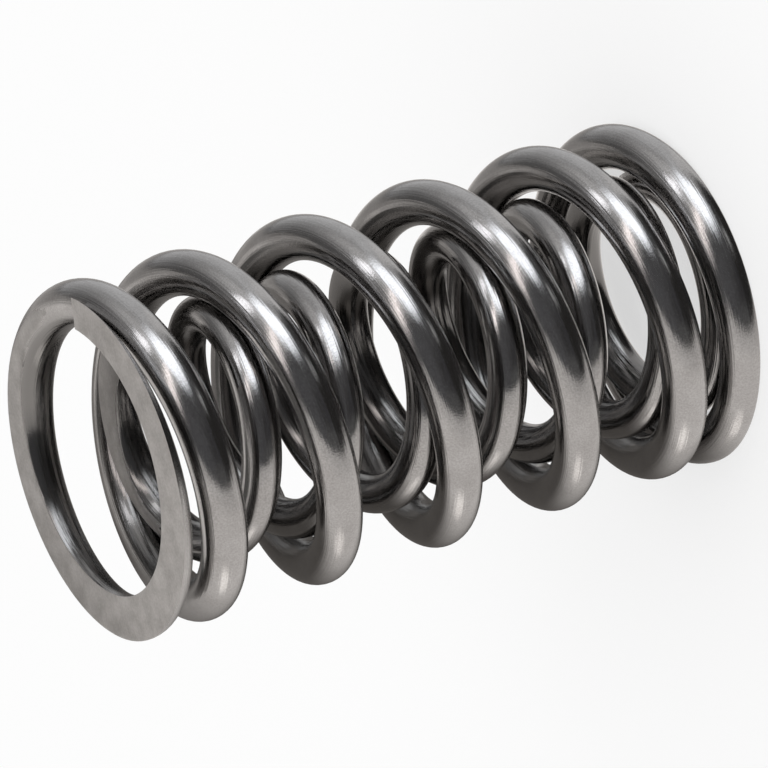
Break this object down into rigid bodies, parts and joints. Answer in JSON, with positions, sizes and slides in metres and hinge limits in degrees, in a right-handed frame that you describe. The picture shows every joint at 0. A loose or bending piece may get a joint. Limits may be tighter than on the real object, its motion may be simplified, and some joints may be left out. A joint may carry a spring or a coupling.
{
  "type": "engine valve spring",
  "caption": "Nested pair of round-wire compression springs for an engine valve, opposite windings, closed and ground ends, inner one shorter and recessed.",
  "frame": {"origin": "centre of the ground lower end, on the springs' axis, at the height of the seat", "axes": "+Z along the springs' axis from the seat end to the retainer end; the outer wire's upper tip lies 14 degrees from +X, towards -Y"},
  "size_m": [0.029, 0.029, 0.0534],
  "materials": {
    "outer_steel": "polished spring steel wire, satin ground end faces",
    "inner_steel": "polished spring steel wire, satin ground end faces"
  },
  "bodies": {
    "root": {"outer_spring": "outer_steel", "inner_spring": "inner_steel"}
  },
  "joints": []
}
